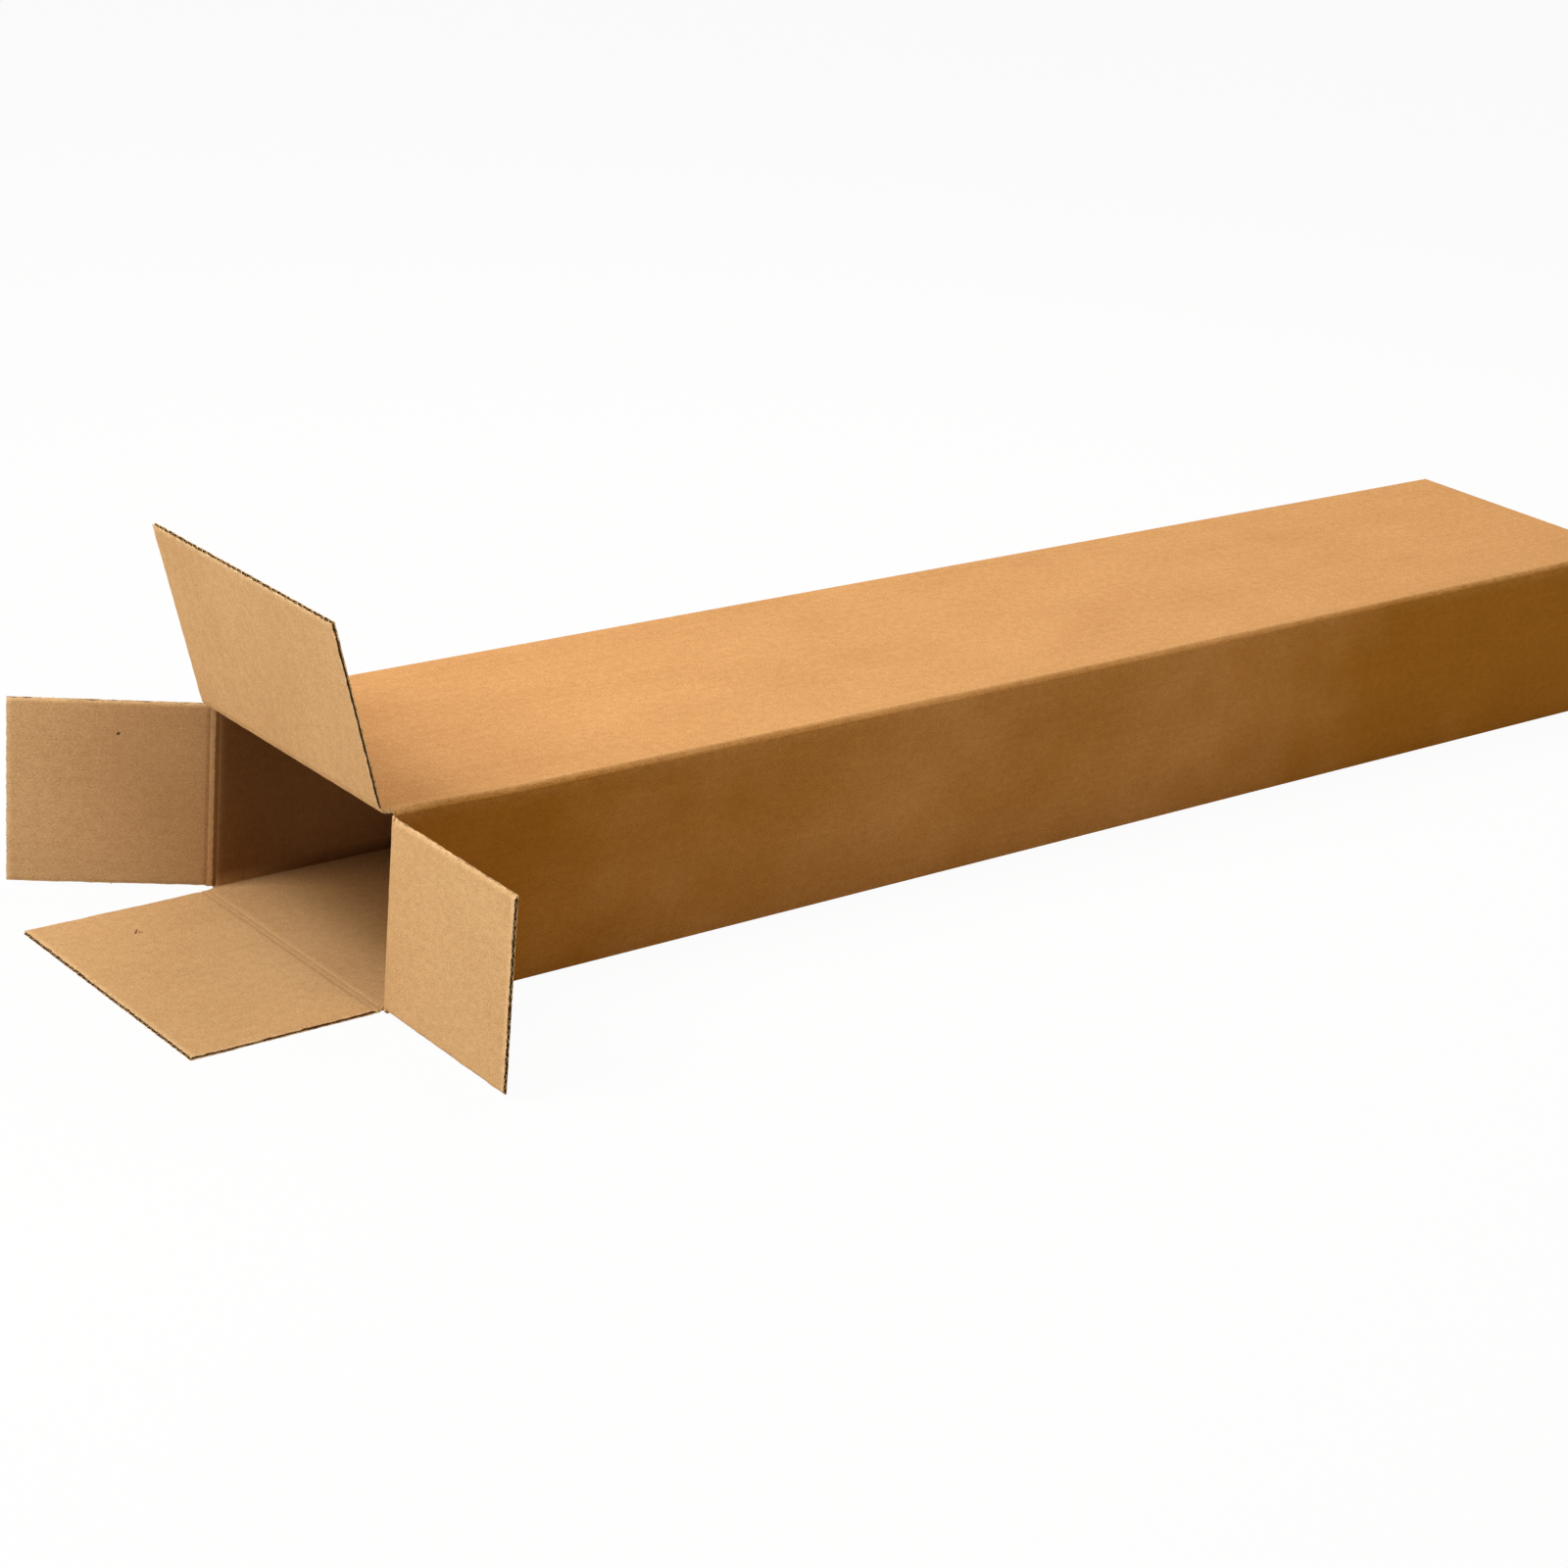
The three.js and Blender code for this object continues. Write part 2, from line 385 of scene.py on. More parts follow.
# The deep colours are painted shade, and the worn colours are rubbed wear with a painted highlight
OUTSIDE = kraft_finish(
    "kraft_outside",
    light=(0.745, 0.405, 0.168, 1),
    dark=(0.53, 0.255, 0.090, 1),
    painted_shade=(0.46, 0.34, 0.09),
    worn_and_highlight=(0.74, 0.42, 0.17, 1),
    streak=0.22,
)
INSIDE = kraft_finish(
    "kraft_inside",
    light=(0.69, 0.435, 0.215, 1),
    dark=(0.50, 0.285, 0.120, 1),
    painted_shade=(0.45, 0.37, 0.29),
    worn_and_highlight=(0.84, 0.58, 0.32, 1),
    streak=0.08,
    marks=(
        (SPECK, (0.0855, pattern_shift("back", -1) - 0.0586), (0.0022, 0.0016), 0.6),
        (SCRATCH, (0.101, pattern_shift("bottom", -1) - 0.094), (0.0062, 0.0012), 0.9),
        (SCRATCH, (0.098, pattern_shift("bottom", -1) - 0.0915), (0.0024, 0.0014), -0.4),
    ),
)
CUT_EDGE = cut_edge_finish()
FLUTING = medium_finish()


# Sheets of board

def deselect():
    bpy.ops.object.select_all(action="DESELECT")


def flat_grid(name, columns, rows):
    """A flat grid that knows each point's column and row."""
    deselect()
    bpy.ops.mesh.primitive_grid_add(x_subdivisions=columns, y_subdivisions=rows, size=2)
    sheet = bpy.context.active_object
    sheet.name = name
    sheet.data.name = name
    column = sheet.data.attributes.new("column", "INT", "POINT")
    row = sheet.data.attributes.new("row", "INT", "POINT")
    for vertex in sheet.data.vertices:
        column.data[vertex.index].value = round((vertex.co.x + 1) / 2 * columns)
        row.data[vertex.index].value = round((vertex.co.y + 1) / 2 * rows)
    return sheet


def grid_places(sheet):
    """The column and row of each point, in the mesh's order."""
    columns = [item.value for item in sheet.data.attributes["column"].data]
    rows = [item.value for item in sheet.data.attributes["row"].data]
    return list(zip(columns, rows))


def trim(sheet, kept):
    """Cuts away the squares that are not part of the blank."""
    places = grid_places(sheet)
    for polygon in sheet.data.polygons:
        corners = [places[index] for index in polygon.vertices]
        column = min(corner[0] for corner in corners)
        row = min(corner[1] for corner in corners)
        polygon.select = not kept(column, row)
    for edge in sheet.data.edges:
        edge.select = False
    for vertex in sheet.data.vertices:
        vertex.select = False
    bpy.ops.object.mode_set(mode="EDIT")
    bpy.ops.mesh.select_mode(type="FACE")
    bpy.ops.mesh.delete(type="FACE")
    bpy.ops.object.mode_set(mode="OBJECT")


def use_modifier(piece, kind, **settings):
    """Adds a modifier with its settings and applies it."""
    deselect()
    piece.select_set(True)
    bpy.context.view_layer.objects.active = piece
    modifier = piece.modifiers.new(kind.lower(), kind)
    for name, value in settings.items():
        setattr(modifier, name, value)
    bpy.ops.object.modifier_apply(modifier=modifier.name)


def board_sheet(name, columns, rows, outer, inner, flat, finishes, kept=None, flip=False):
    """A sheet with an outer and an inner face, each given by column and row.

    finishes are the materials of the outer face, the inner face and the cut edges."""
    sheet = flat_grid(name, columns, rows)
    if kept:
        trim(sheet, kept)
    if flip:
        sheet.data.flip_normals()
    for vertex, (column, row) in zip(sheet.data.vertices, grid_places(sheet)):
        vertex.co = outer(column, row)
    face_points = len(sheet.data.vertices)
    for finish in finishes:
        sheet.data.materials.append(finish)
    use_modifier(
        sheet,
        "SOLIDIFY",
        thickness=LINER,
        offset=-1,
        use_rim=True,
        material_offset=1,
        material_offset_rim=2,
    )
    places = grid_places(sheet)
    inner_face = sheet.data.attributes.new("inner_face", "FLOAT", "POINT")
    for vertex in sheet.data.vertices[face_points:]:
        vertex.co = inner(*places[vertex.index])
        inner_face.data[vertex.index].value = 1
    layer = sheet.data.uv_layers[0]
    layer.name = "blank"
    for loop in sheet.data.loops:
        layer.data[loop.index].uv = flat(*places[loop.vertex_index])
    return sheet


def joined(name, sheets):
    """Several sheets as one piece."""
    deselect()
    for sheet in sheets:
        sheet.select_set(True)
    bpy.context.view_layer.objects.active = sheets[0]
    bpy.ops.object.join()
    piece = bpy.context.active_object
    piece.name = name
    piece.data.name = name
    return piece


def finish_piece(piece, body, smooth_angle=40):
    """Smooth shading, and the body that the piece rides on."""
    deselect()
    piece.select_set(True)
    bpy.context.view_layer.objects.active = piece
    bpy.ops.object.shade_smooth_by_angle(angle=math.radians(smooth_angle))
    if body:
        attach(piece, body)
    return piece


def paint(piece, name, level):
    """Keeps a value from 0 to 1 at each point for the kraft finish, such as its share of painted shade, or
    of wear with a painted highlight.
    """
    inner_face = [item.value > 0.5 for item in piece.data.attributes["inner_face"].data]
    layer = piece.data.attributes.new(name, "FLOAT", "POINT")
    for vertex, inner in zip(piece.data.vertices, inner_face):
        layer.data[vertex.index].value = level(vertex.co, inner)


# The walls and the closed end, folded from one blank

class Column:
    """One line along the blank: the wall it belongs to, whether a flap carries it on at both ends,
    its outer and inner points in the section, and how far round the blank it lies."""

    def __init__(self, wall, flap, outer, inner, normal, round_blank, fold=0.0):
        self.wall = wall
        self.flap = flap
        self.outer = outer
        self.inner = inner
        self.normal = normal
        self.round_blank = round_blank
        self.fold = fold


WALL_STEP = 0.014
FOLD_STEPS = 12
LAP_STEPS = 6


def wall_columns(name, first, last, start):
    """The columns across one wall, from first to last along its run, with the slots at both sides."""
    corner, run, normal, span = SECTION[name]
    near = FLAP_MARGIN
    far = span - FLAP_MARGIN
    steps = round((far - near) / WALL_STEP)
    stations = [(first, False), (near - SLOT_STEP, False)]
    stations += [(near + (far - near) * i / steps, True) for i in range(steps + 1)]
    stations += [(far + SLOT_STEP, False), (last, False)]
    made = []
    for place, flap in stations:
        if place < first - 1e-9 or place > last + 1e-9:
            continue
        outer = corner + run * place
        made.append(Column(name, flap, outer, outer - normal * BOARD, normal, start + place - first))
    return made


def fold_columns(wall, corner, run, normal, start, radius=FOLD_RADIUS):
    """The columns round a long fold, from the end of one wall to the start of the next."""
    outer_centre = corner - (normal + run) * radius
    inner_centre = corner - (normal + run) * (BOARD + INNER_FOLD_RADIUS)
    made = []
    for i in range(1, FOLD_STEPS):
        angle = math.pi / 2 * i / FOLD_STEPS
        way = normal * math.cos(angle) + run * math.sin(angle)
        outer = outer_centre + way * radius
        inner = inner_centre + way * INNER_FOLD_RADIUS
        made.append(Column(wall, False, outer, inner, way, start + radius * angle, math.sin(2 * angle)))
    return made


def blank_columns():
    """The whole blank across: front, top, back and bottom walls with their folds, then the glue lap."""
    made = []
    arc = FOLD_RADIUS * math.pi / 2
    reach = 0.0
    for name in WALLS:
        corner, run, normal, span = SECTION[name]
        first = SEAM_LIFT if name == "front" else FOLD_RADIUS
        last = span - FOLD_RADIUS
        if name == "bottom":
            last = span - BOARD - SEAM_CLEARANCE - END_FOLD_RADIUS
        made += wall_columns(name, first, last, reach)
        reach += last - first
        end = corner + run * span
        if name != "bottom":
            made += fold_columns(name, end, run, normal, reach)
            reach += arc
    corner, run, normal, span = SECTION["bottom"]
    end = corner + run * (span - BOARD - SEAM_CLEARANCE)
    made += fold_columns("lap", end, run, normal, reach, END_FOLD_RADIUS)
    reach += END_FOLD_RADIUS * math.pi / 2
    up = -normal
    for i in range(LAP_STEPS + 1):
        rise = END_FOLD_RADIUS + (LAP_WIDTH + BOARD - END_FOLD_RADIUS) * i / LAP_STEPS
        outer = end + up * rise
        inner = end + up * max(rise, BOARD + INNER_FOLD_RADIUS) - run * BOARD
        made.append(Column("lap", False, outer, inner, run, reach + rise - END_FOLD_RADIUS))
    return made


COLUMNS = blank_columns()
MOUTH_ROWS = [0.0, 0.0015, 0.003, 0.005, 0.008, 0.012, 0.018, 0.026]
LONG_STEPS = 180
WALL_ROWS = len(MOUTH_ROWS) + LONG_STEPS
END_FOLD_STEPS = 6
END_ROWS = 14
END_ROW_STEP = 0.013
END_CLEARANCE = 0.001
ALL_ROWS = WALL_ROWS - 1 + END_FOLD_STEPS + END_ROWS


def slot_end(wall, place):
    """Where the corner slots beside a wall's edge stop: just past the deeper of the two creases."""
    corner, run, _, span = SECTION[wall]
    at_start = (place - corner).dot(run) < span / 2
    step = -1 if at_start else 1
    neighbour = WALLS[(WALLS.index(wall) + step) % 4]
    mouth = max(CREASES[wall].place.x, CREASES[neighbour].place.x) + SLOT_OVERCUT
    far = min(FAR_CREASE[wall], FAR_CREASE[neighbour]) - SLOT_OVERCUT
    return mouth, far


def column_ends(column, inner):
    """Where a column of the tube starts and stops along the carton, on its outer or inner face."""
    if column.wall == "lap":
        rise = max(column.outer.z - (LAP_WIDTH + BOARD - LAP_CHAMFER), 0)
        return CREASES["back"].place.x + LAP_SETBACK + rise, FAR_CREASE["back"] - BOARD - END_CLEARANCE
    if not column.flap:
        return slot_end(column.wall, column.outer)
    mitre = MITRE if inner else 0
    inner_bend = BOARD + INNER_FOLD_RADIUS if inner else END_FOLD_RADIUS
    mouth = CREASES[column.wall].place.x + CREASE_GAP + mitre
    return mouth, FAR_CREASE[column.wall] - inner_bend


def row_along(column, row, inner):
    """Where a row of the tube lies along the carton, in a column."""
    start, stop = column_ends(column, inner)
    outer_start, _ = column_ends(column, False)
    last = MOUTH_ROWS[-1]
    if row < len(MOUTH_ROWS):
        return start + MOUTH_ROWS[row] * (outer_start + last - start) / last
    share = (row - len(MOUTH_ROWS) + 1) / LONG_STEPS
    return outer_start + last + (stop - outer_start - last) * share


def end_fold(row, inner):
    """The path round a far crease and down the closed end: how far along, and how far in."""
    radius = INNER_FOLD_RADIUS if inner else END_FOLD_RADIUS
    corner = -BOARD if inner else 0
    step = row - (WALL_ROWS - 1)
    if step <= END_FOLD_STEPS:
        angle = math.pi / 2 * step / END_FOLD_STEPS
        return corner - radius + radius * math.sin(angle), corner - radius + radius * math.cos(angle)
    down = (step - END_FOLD_STEPS) / END_ROWS
    start = corner - radius
    return corner, start + (-FLAP_LENGTH - start) * down


def settled(point):
    """How the long box has settled: its front top edge sags, and its panels bow in."""
    along = min(point.x + HALF_LENGTH, HALF_LENGTH - point.x)
    free = smooth((along - MOUTH_STIFF_START) / MOUTH_STIFF_RUN)
    span = math.sin(math.pi * min(max((point.x + HALF_LENGTH) / (2 * HALF_LENGTH), 0), 1))
    up = point.z / HEIGHT
    to_front = (HALF_WIDTH - point.y) / (2 * HALF_WIDTH)
    sag = FRONT_EDGE_SAG * (EVEN_SAG_SHARE * free + MIDDLE_SAG_SHARE * span) * free * up * to_front
    sag *= 1 + 0.25 * wander(0.35, point.x, 3.7)
    across = math.sin(math.pi * min(max(to_front, 0), 1))
    height = math.sin(math.pi * min(max(up, 0), 1))
    bow = PANEL_BOW * free * (0.75 + 0.35 * wander(0.25, point.x, 8.1))
    moved = Vector(point)
    moved.z -= sag + bow * across * up ** 3
    moved.y += bow * height * (1 if point.y < 0 else -1) * abs(point.y / HALF_WIDTH) ** 3
    return moved


FOLD_DEPTH = 0.0008
FOLD_DENTS = 0.0007
FOLD_WRINKLES = 0.0006
DENT_LENGTH = 0.06
WRINKLE_LENGTH = 0.11
WRINKLE_WIDTH = 0.0011


def fold_crush(column, x):
    """The crushed, wrinkled band along a fold: how far in the liner has gone."""
    if not column.fold:
        return 0.0
    dents = 0.5 + 0.5 * wander(DENT_LENGTH, x, column.outer.y * 3, column.outer.z * 3)
    wrinkles = 0.5 + 0.5 * wander(1.0, x / WRINKLE_LENGTH, column.round_blank / WRINKLE_WIDTH)
    return column.fold * (FOLD_DEPTH + FOLD_DENTS * dents + FOLD_WRINKLES * wrinkles)


def carton_point(index, row, inner):
    column = COLUMNS[index]
    section = column.inner if inner else column.outer
    if row < WALL_ROWS:
        x = row_along(column, row, inner)
        point = Vector((x, section.y, section.z))
        if inner and column.flap:
            crushed = BOARD - thickness(x - CREASES[column.wall].place.x)
            point += column.normal * crushed
        if not inner:
            point -= column.normal * fold_crush(column, x)
        return settled(point)
    along, depth = end_fold(row, inner)
    face = column.outer + column.normal * depth
    return settled(Vector((FAR_CREASE[column.wall] + along, face.y, face.z)))


def carton_flat(index, row):
    column = COLUMNS[index]
    if row < WALL_ROWS:
        return row_along(column, row, False), column.round_blank
    return HALF_LENGTH + (row - WALL_ROWS) * END_ROW_STEP, column.round_blank


def carton_kept(index, row):
    """Past the far crease only the flaps go on, without the slots between them."""
    both_flaps = COLUMNS[index].flap and COLUMNS[index + 1].flap
    same_wall = COLUMNS[index].wall == COLUMNS[index + 1].wall
    return row < WALL_ROWS - 1 or (both_flaps and same_wall)


# Painted shade inside the box: how dark the floor is painted at the mouth, and where it darkens
FLOOR_RISE = 0.003
FLOOR_MOUTH_SHADE = 0.2
FLOOR_DARKENING_START = 0.02
FLOOR_DARKENING_RUN = 0.11
# How dark the painted shade is on the other inner faces, and where it darkens and lightens again
INNER_MOUTH_SHADE = 0.75
INNER_DARKENING_RUN = 0.03
INNER_LIGHTENING = 0.75
INNER_LIGHTENING_START = 0.04
INNER_LIGHTENING_RUN = 0.16
# Painted shade on the outside: how dark it is on the front wall, lightest near its middle, and on the walls
# that the camera does not see
FRONT_TURN_START = 0.006
FRONT_TURN_RUN = 0.004
UNDERSIDE_RISE = 0.02
BACK_REACH = 0.002
FRONT_LIGHTEST_X = -0.12
FRONT_LIGHTEST_SHADE = 0.76
FRONT_END_SHADE = 0.27
FRONT_END_RUN = 0.62
HIDDEN_WALL_SHADE = 0.35
# Where the top folds are rubbed pale with a painted highlight
RUB_BELOW = 0.012
FRONT_RUB_MIDDLE = 0.003
FRONT_RUB_HALF = 0.0045
BACK_RUB_HALF = 0.006
BACK_RUB_SHARE = 0.6


def carton_wear_and_highlight(point, inner):
    """The top folds are rubbed pale and carry a painted highlight, most of all the front one."""
    high = max(1 - (HEIGHT - point.z) / RUB_BELOW, 0)
    front = max(1 - abs(point.y + HALF_WIDTH - FRONT_RUB_MIDDLE) / FRONT_RUB_HALF, 0) * high
    front *= 0.75 + 0.5 * wander(0.07, point.x, 2.0)
    back = max(1 - abs(HALF_WIDTH - point.y) / BACK_RUB_HALF, 0) * high
    return min(front + back * BACK_RUB_SHARE, 1)


def inside_painted_shade(point):
    """Painted shade inside: the floor darkens slowly from the mouth in, and the other inner faces at once
    and then less.
    """
    inside = point.x + HALF_LENGTH
    if point.z < BOARD + FLOOR_RISE:
        share = smooth((inside - FLOOR_DARKENING_START) / FLOOR_DARKENING_RUN)
        return FLOOR_MOUTH_SHADE + (1 - FLOOR_MOUTH_SHADE) * share
    painted_shading = INNER_MOUTH_SHADE + (1 - INNER_MOUTH_SHADE) * smooth(inside / INNER_DARKENING_RUN)
    return painted_shading * (1 - INNER_LIGHTENING * smooth((inside - INNER_LIGHTENING_START) / INNER_LIGHTENING_RUN))


def outside_painted_shade(point):
    """Painted shade on the shaded front wall: darker and browner, least near its middle, with an even
    lighter share on the hidden walls.
    """
    front = smooth((FRONT_TURN_START - HALF_WIDTH - point.y) / FRONT_TURN_RUN)
    to_end = min(((point.x - FRONT_LIGHTEST_X) / FRONT_END_RUN) ** 2, 1)
    front_shade = FRONT_LIGHTEST_SHADE + FRONT_END_SHADE * to_end
    front_shade += 0.14 * wander(0.22, point.x, point.z, 4.0) + 0.08 * wander(0.05, point.x, point.z, 1.0)
    hidden = point.z < UNDERSIDE_RISE or point.y > HALF_WIDTH - BACK_REACH
    return min(max(front * front_shade, HIDDEN_WALL_SHADE if hidden else 0), 1)


def carton_painted_shade(point, inner):
    return inside_painted_shade(point) if inner else outside_painted_shade(point)


def make_walls():
    walls = board_sheet(
        "carton_walls",
        len(COLUMNS) - 1,
        ALL_ROWS,
        lambda column, row: carton_point(column, row, False),
        lambda column, row: carton_point(column, row, True),
        carton_flat,
        [OUTSIDE, INSIDE, CUT_EDGE],
        kept=carton_kept,
        flip=True,
    )
    paint(walls, "worn_and_highlight", carton_wear_and_highlight)
    # Painted shade on the inner faces and on the front wall
    paint(walls, "painted_shade", carton_painted_shade)
    finish_piece(walls, "body")
    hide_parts("carton_body")
    return walls


# The open flaps: two liners with the fluted medium between them

FLAP_ROWS = 36
CRUSH_ROWS = 6
COLUMNS_PER_FLUTE = 5
FLUTE_SEGMENTS = 12
EDGE_ROUGH = 0.0006
EDGE_REACH = 0.003
WAVER = 0.00012
MOST_PINCH = 0.7
PINCH_REACH = 0.0035
# How far the die has pressed each flap's side cuts shut
PINCHED = {"top": 0.15, "bottom": 0.3, "front": 0.85, "back": 0.6}


def flap_rows(run_start):
    """Distances from the crease, close together where the board is crushed."""
    near = [run_start + (CRUSH_RUN - run_start) * i / CRUSH_ROWS for i in range(CRUSH_ROWS)]
    steps = FLAP_ROWS - CRUSH_ROWS
    return near + [CRUSH_RUN + (FLAP_LENGTH - CRUSH_RUN) * i / steps for i in range(steps + 1)]


def ragged(run, across, width, seed):
    """A place on a liner, with its cut edges left a little rough."""
    tear = wander(0.0035, run, across, seed) + 0.6 * wander(0.0012, run, across, seed + 5)
    side = max(abs(across) - width / 2 + EDGE_REACH, 0) / EDGE_REACH
    end = max(run - FLAP_LENGTH + EDGE_REACH, 0) / EDGE_REACH
    out = 1 if across > 0 else -1
    sideways = side * EDGE_ROUGH * max(0.8 + 1.6 * tear, 0.4)
    return run - end * EDGE_ROUGH * (0.6 + tear), across - out * sideways


def pinch(crease, run, across):
    """The share of its thickness that the board has lost near a side cut."""
    near = 1 - (crease.width / 2 - abs(across)) / PINCH_REACH
    uneven = 0.8 + 0.5 * wander(0.018, run, across, 12.0)
    return PINCHED[crease.name] * uneven * smooth(near)


def liner_sheet(crease, facing):
    """The outer liner for facing 1, or the inner one for facing -1."""
    flutes = round(crease.width / FLUTE_PITCH)
    columns = flutes * COLUMNS_PER_FLUTE
    run_start = CREASE_GAP if facing > 0 else CREASE_GAP + MITRE
    rows = flap_rows(run_start)
    seed = pattern_shift(crease.name, facing)

    def place(column, row, depth):
        across = -crease.width / 2 + crease.width * column / columns
        run, across = ragged(rows[row], across, crease.width, seed)
        waver = min(WAVER * wander(0.02, run, across, seed), 0)
        if facing > 0:
            mitre = depth if row == 0 else 0
            return crease.flap_point(run + mitre, across, -depth + waver)
        face = thickness(run) * (1 - min(pinch(crease, run, across), MOST_PINCH))
        return crease.flap_point(run, across, -face + depth - waver)

    return board_sheet(
        crease.name + "_liner",
        columns,
        len(rows) - 1,
        lambda column, row: place(column, row, 0.0),
        lambda column, row: place(column, row, LINER),
        lambda column, row: (rows[row], crease.width * (column / columns - 0.5) + seed),
        [OUTSIDE if facing > 0 else INSIDE, FLUTING, CUT_EDGE],
        flip=facing < 0,
    )


# Distances from the crease at which the medium has points, close together at both of its ends
MEDIUM_RUNS = [0.004, 0.008, 0.012, 0.06, 0.12, 0.17, 0.178, FLAP_LENGTH - 0.0008]
FLUTE_WAVER = 0.0006
MEDIUM_END_WAVER = 0.0006
MEDIUM_CRUMPLE = 0.00006


def medium_sheet(crease):
    """The fluted medium, whose waves run from the crease to the free edge."""
    flutes = round(crease.width / FLUTE_PITCH)
    columns = flutes * FLUTE_SEGMENTS

    def place(column, row, depth):
        turns = column / FLUTE_SEGMENTS
        across = (crease.width - EDGE_ROUGH) * (turns / flutes - 0.5)
        run = MEDIUM_RUNS[row]
        middle = thickness(run) * (1 - min(pinch(crease, run, across), MOST_PINCH)) / 2
        swing = middle - LINER - MEDIUM / 2
        crumple = MEDIUM_CRUMPLE * wander(0.004, run, across, 7)
        across += FLUTE_WAVER * wander(0.011, across, run, 3) * (1 if 0 < column < columns else 0)
        out = -middle + swing * math.cos(2 * math.pi * turns) + MEDIUM / 2 - depth
        end = MEDIUM_END_WAVER * wander(0.003, across, 0, 9) if row == len(MEDIUM_RUNS) - 1 else 0
        return crease.flap_point(run + end, across, out + crumple)

    return board_sheet(
        crease.name + "_fluting",
        columns,
        len(MEDIUM_RUNS) - 1,
        lambda column, row: place(column, row, 0.0),
        lambda column, row: place(column, row, MEDIUM),
        lambda column, row: (MEDIUM_RUNS[row], crease.width * column / columns),
        [FLUTING, FLUTING, CUT_EDGE],
    )


TEAR_STEPS = 4
TEAR_WIDTH = 0.0016
TEAR_INSET = 0.0008
TEAR_THICKNESS = 0.00025
TEAR_CURL = 0.35
# Torn fibres on the flaps' cut edges: how far from the crease, which side, how long, and their lean
TEARS = {
    "top": [
        (0.172, -1, 0.0042, 0.5),
        (0.1765, -1, 0.0030, -0.3),
        (0.181, -1, 0.0026, 0.9),
        (0.0075, -1, 0.0034, 0.3),
        (0.052, -1, 0.0016, 1.1),
        (0.11, -1, 0.0018, -0.9),
    ],
    "front": [
        (0.011, 1, 0.0012, 1.0),
        (0.046, 1, 0.0012, 1.1),
        (0.102, 1, 0.0012, -1.0),
    ],
    "bottom": [
        (0.182, 1, 0.0022, 0.6),
        (0.07, 1, 0.0016, -1.0),
        (0.115, 1, 0.0018, 1.0),
    ],
    "back": [
        (0.09, 1, 0.0011, 0.9),
    ],
}


def torn_fibre(crease, run, side, length, lean):
    """A sliver of liner that the die has torn up at a side cut."""
    start = Vector((run, side * (crease.width / 2 - TEAR_INSET)))
    way = Vector((math.sin(lean), side * math.cos(lean)))
    wide = Vector((way.y, -way.x)) * side
    middle = -thickness(run) * (0.75 + 0.2 * wander(0.01, run, 3.0))

    def place(column, row, depth):
        share = row / TEAR_STEPS
        width = TEAR_WIDTH * (1 - share ** 1.5) * (1 + 0.4 * wander(0.001, run, share * 0.003, 5.0))
        flat = start + way * length * share + wide * width * (column - 0.5)
        curl = -TEAR_CURL * length * share * share
        return crease.flap_point(flat.x, flat.y, middle + curl - depth)

    return board_sheet(
        crease.name + "_torn_fibre",
        1,
        TEAR_STEPS,
        lambda column, row: place(column, row, 0.0),
        lambda column, row: place(column, row, TEAR_THICKNESS),
        lambda column, row: (run + row * 0.001, column * 0.001),
        [CUT_EDGE, CUT_EDGE, CUT_EDGE],
    )


# How pale the flaps' edges are, as rubbed wear with a painted highlight along them
EDGE_WEAR_AND_HIGHLIGHT = 0.8
FREE_EDGE_RUB = 0.0035
SIDE_EDGE_RUB = 0.0025
# How much painted shade each flap has beside its crease, and how far that goes
FLAP_CREASE_SHADE = {"top": 0.0, "bottom": 0.0, "front": 0.0, "back": 0.42}
FLAP_CREASE_SHADE_RUN = 0.2


def make_flap(name):
    crease = CREASES[name]
    sheets = [liner_sheet(crease, 1), liner_sheet(crease, -1), medium_sheet(crease)]
    sheets += [torn_fibre(crease, *tear) for tear in TEARS[name]]
    flap = joined(name + "_flap_board", sheets)

    # Rubbed wear and a painted highlight along the free and side edges
    def wear_and_highlight(point, inner):
        place = crease.turned(point, -crease.opened) - crease.place
        free_edge = FLAP_LENGTH - place.dot(crease.away)
        side_edge = crease.width / 2 - abs(place.dot(crease.across))
        edge_band = max(1 - free_edge / FREE_EDGE_RUB, 0) + max(1 - side_edge / SIDE_EDGE_RUB, 0)
        return min(edge_band, 1) * EDGE_WEAR_AND_HIGHLIGHT

    # Painted shade, darkest beside the crease
    def painted_shade_level(point, inner):
        run = (crease.turned(point, -crease.opened) - crease.place).dot(crease.away)
        return FLAP_CREASE_SHADE[name] * (1 - smooth(run / FLAP_CREASE_SHADE_RUN))

    paint(flap, "worn_and_highlight", wear_and_highlight)
    paint(flap, "painted_shade", painted_shade_level)
    finish_piece(flap, crease.body)
    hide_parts("flap_" + name)
    return flap


# The crushed board at each crease, shaped for the angle at which its flap lies

STRIP_STEPS = 18
STRIP_LAP = 0.0009
BLEND_REACH = 0.003
# How pale each fold's ridge is, as rubbed wear and a painted highlight
RIDGE_WEAR_AND_HIGHLIGHT = {"top": 0.0, "bottom": 0.12, "front": 0.8, "back": 1.0}
RIDGE_HALF = 0.13
# How dark the painted shade is on the walls' side of each fold
STRIP_SHADE = {"top": 1.0, "bottom": 0.25, "front": 1.0, "back": 1.0}
STRIP_COLUMN = 0.002
STRIP_SINK = 0.0001
# How near the strip's inner ridge comes to the sharp corner of the two mitred faces
RIDGE_FULLNESS = 0.88
OUTER_GAP_RADIUS = 0.0003
OUTER_START = math.radians(-172)


